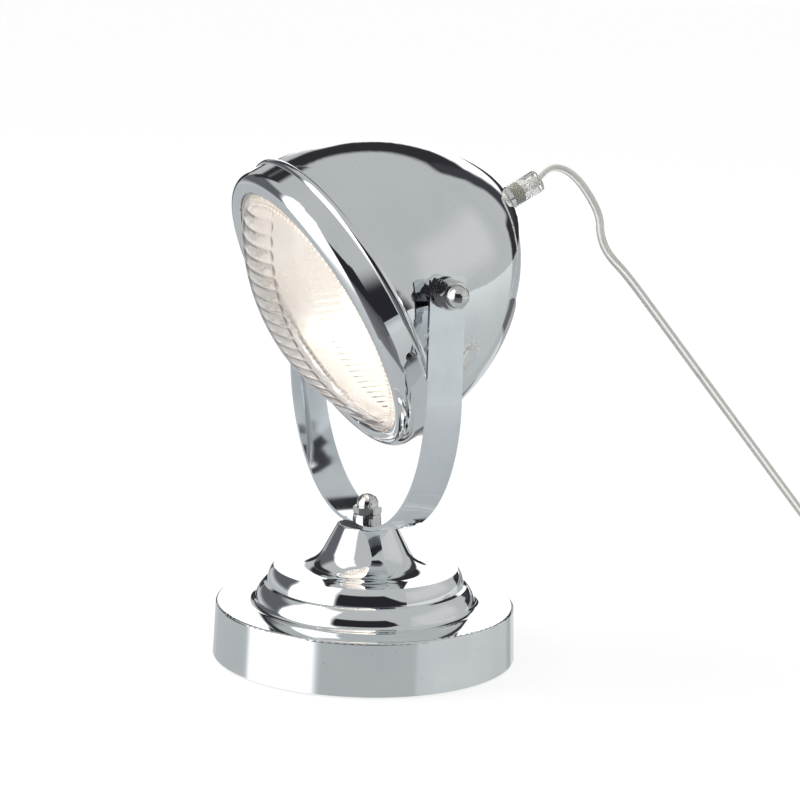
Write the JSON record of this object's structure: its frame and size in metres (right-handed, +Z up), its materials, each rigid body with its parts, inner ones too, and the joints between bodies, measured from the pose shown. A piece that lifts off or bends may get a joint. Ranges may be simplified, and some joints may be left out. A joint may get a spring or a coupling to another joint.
{
  "type": "tabletop searchlight lamp",
  "caption": "Chrome table lamp with a round headlight on a U-shaped yoke that swivels on a stepped round base, the head tilts between the arms, rocker switch on the cord.",
  "frame": {"origin": "centre of the base's underside, on the surface it stands on", "axes": "+Z up through the neck, +X along the tilt axis, the lens faces -Y and down, the cord leaves towards +Y"},
  "size_m": [0.2553, 0.4616, 0.2732],
  "materials": {
    "chrome": "polished chrome plate",
    "cast_iron": "rough casting",
    "zinc_steel": "bright zinc plate",
    "felt": "pressed felt",
    "fibre": "pressed fibre",
    "lens_glass": "fluted clear glass",
    "bulb_glass": "clear blown glass",
    "reflector_mirror": "vapour-coated mirror",
    "gasket_rubber": "soft rubber",
    "holder_plastic": "moulded phenolic",
    "brass": "turned brass",
    "tungsten": "drawn wire",
    "clear_plastic": "clear moulded plastic",
    "cord_plastic": "clear soft sheath over two cores",
    "switch_plastic": "moulded plastic",
    "rocker_plastic": "moulded plastic",
    "plug_plastic": "moulded plastic",
    "plug_metal": "nickel-plated brass",
    "tie_plastic": "plastic-coated wire strip"
  },
  "bodies": {
    "root": {"base_shell": "chrome", "base_weight": "cast_iron", "bottom_plate": "zinc_steel", "base_pad": "felt", "plate_screws": "zinc_steel", "tie_rod": "zinc_steel", "rod_nut": "zinc_steel", "rod_washer": "zinc_steel", "swivel_friction_washer": "fibre", "swivel_flat_washer": "chrome", "swivel_spring_washer": "chrome", "swivel_cap_nut": "chrome", "switch_lower_shell": "switch_plastic", "switch_upper_shell": "switch_plastic", "rocker_pin": "zinc_steel", "switch_screws": "zinc_steel", "switch_terminals": "brass", "contact_leaf": "brass", "lead_drop": "cord_plastic", "lead_run": "cord_plastic", "lead_coil": "cord_plastic", "cord_tie": "tie_plastic", "plug_relief": "plug_plastic", "plug_body": "plug_plastic", "plug_pins": "plug_metal"},
    "yoke": {"yoke_bracket": "chrome"},
    "head": {"headlight_bucket": "chrome", "trim_ring": "chrome", "trim_screw": "chrome", "screw_tab": "zinc_steel", "lens": "lens_glass", "lens_gasket": "gasket_rubber", "reflector": "reflector_mirror", "retaining_clips": "zinc_steel", "lamp_holder": "holder_plastic", "holder_collar": "zinc_steel", "bulb_cap": "brass", "bulb": "bulb_glass", "filament": "tungsten", "rear_nipple": "brass", "nipple_washer": "zinc_steel", "nipple_nut": "zinc_steel", "grip_lock_ring": "chrome", "grip_sleeve": "brass", "cord_grip": "clear_plastic", "inner_lead": "cord_plastic", "pivot_studs": "zinc_steel", "pivot_bushes": "chrome", "pivot_inner_pads": "zinc_steel", "pivot_inner_nuts": "zinc_steel", "pivot_jam_nuts": "chrome", "pivot_flat_washers": "chrome", "pivot_spring_washers": "chrome", "pivot_cap_nuts": "chrome"},
    "rocker": {"switch_rocker": "rocker_plastic"}
  },
  "joints": [
    {"name": "yoke_swivel", "type": "hinge", "parent": "root", "child": "yoke", "pos_m": [0, 0, 0.071], "axis": [0, 0, 1], "range_deg": [-90, 90], "deforming": ["lead_drop"]},
    {"name": "head_tilt", "type": "hinge", "parent": "yoke", "child": "head", "pos_m": [0, 0, 0.2054], "axis": [1, 0, 0], "range_deg": [-65, 50], "deforming": ["lead_drop"]},
    {"name": "switch_press", "type": "hinge", "parent": "root", "child": "rocker", "pos_m": [0.078, 0.37, 0.0132], "axis": [0, -1, 0], "range_deg": [0, 16]}
  ]
}
